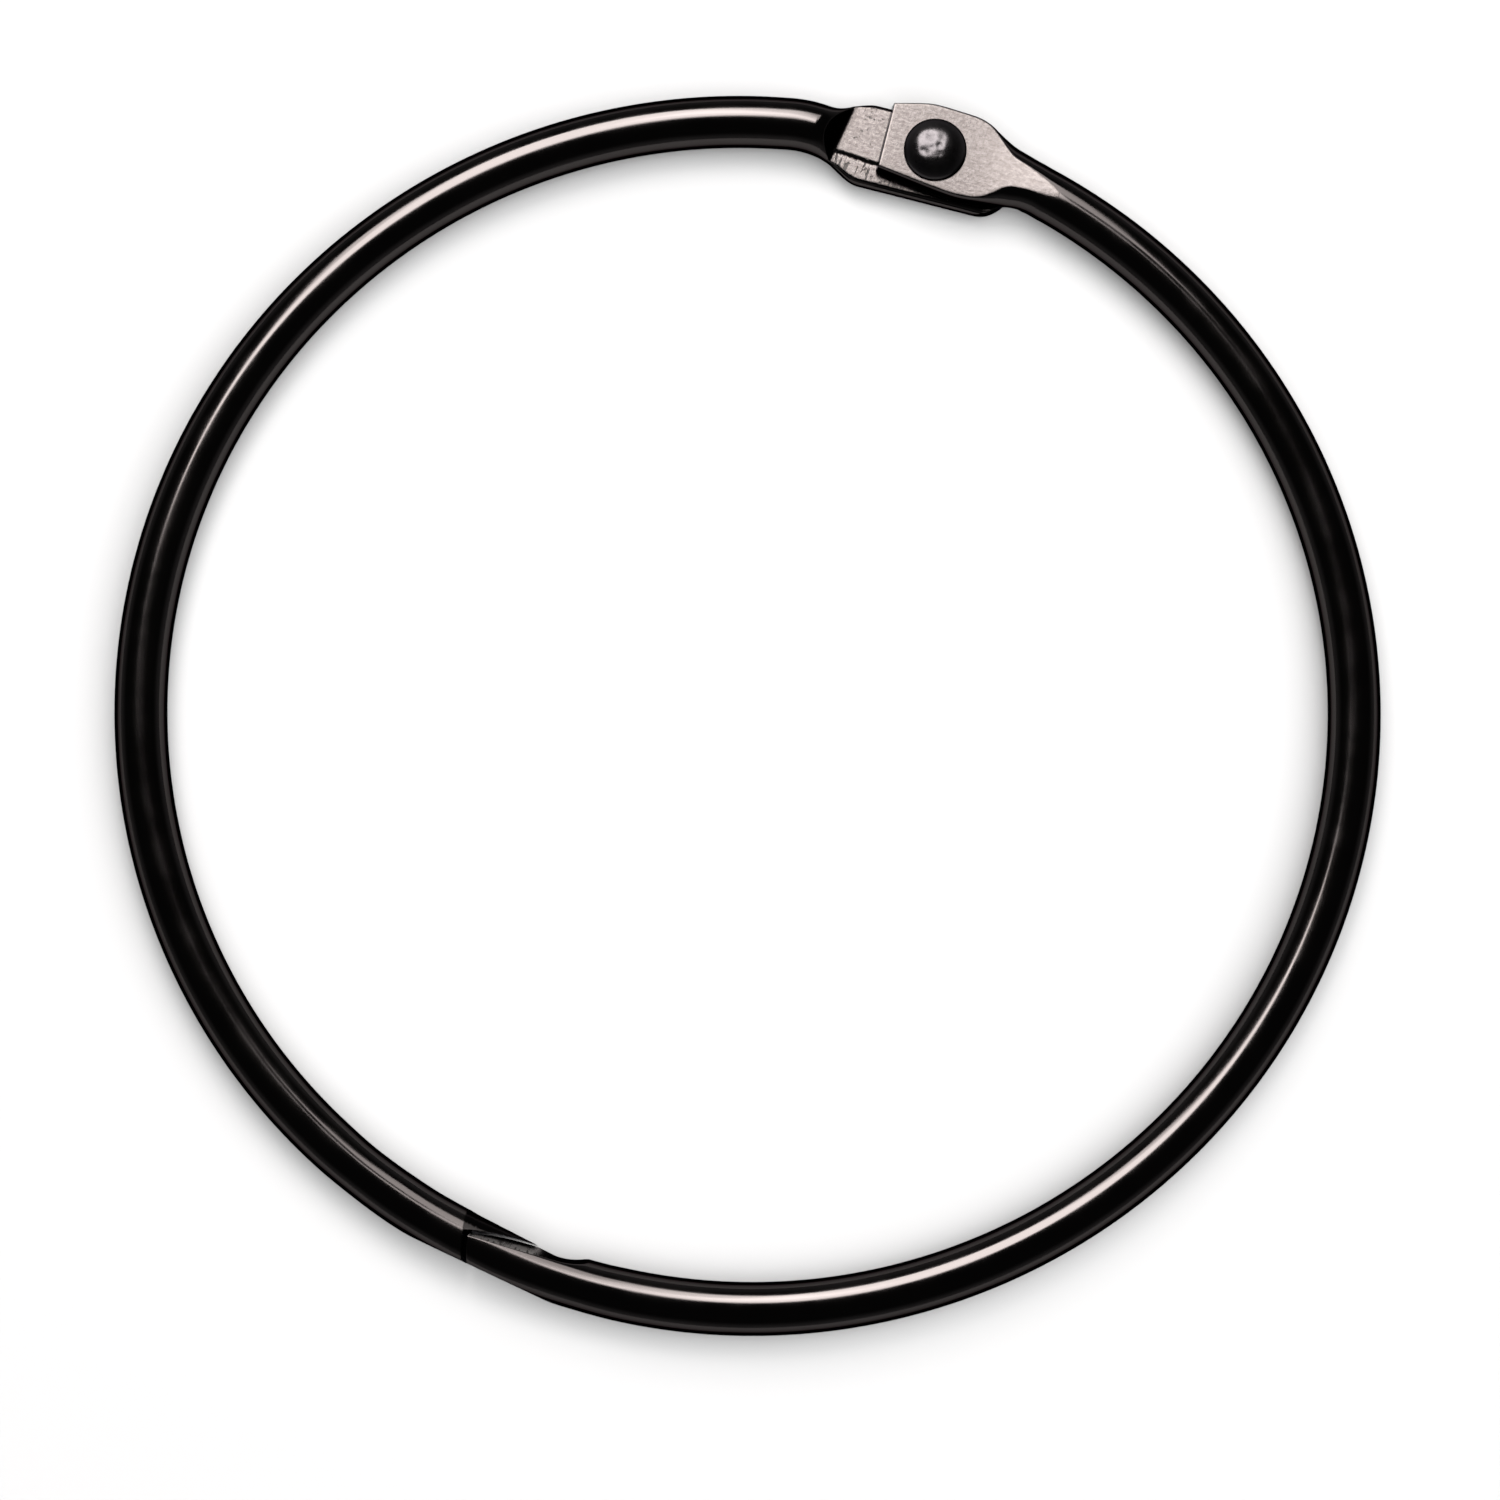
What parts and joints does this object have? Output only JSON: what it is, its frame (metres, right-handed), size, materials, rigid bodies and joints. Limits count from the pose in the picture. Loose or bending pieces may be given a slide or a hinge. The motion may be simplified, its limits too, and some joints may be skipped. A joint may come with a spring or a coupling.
{
  "type": "hinged snap ring",
  "caption": "Loose-leaf ring of round wire in two halves, riveted at flattened lap tabs, closed by two interlocking tongues opposite the hinge.",
  "frame": {"origin": "middle of the closed ring's box, at the height of the rivet tail's flat bottom", "axes": "+Z along the rivet axis, out of the domed head; +Y from the clasp towards the rivet; the half with the upper tab lies on +X"},
  "size_m": [0.0837, 0.084, 0.0047],
  "materials": {
    "plated_wire": "polished dark nickel plate over round steel wire, worn to silver on the pressed tab faces",
    "rivet": "polished dark plate, silver where the dome was struck"
  },
  "bodies": {
    "left_half": {"half_ring_left": "plated_wire", "hinge_rivet": "rivet"},
    "right_half": {"half_ring_right": "plated_wire"}
  },
  "joints": [
    {"name": "hinge_fold", "type": "hinge", "parent": "left_half", "child": "right_half", "pos_m": [0, 0.0388, 0.00212], "axis": [0, 0, 1], "range_deg": [0, 120]}
  ]
}
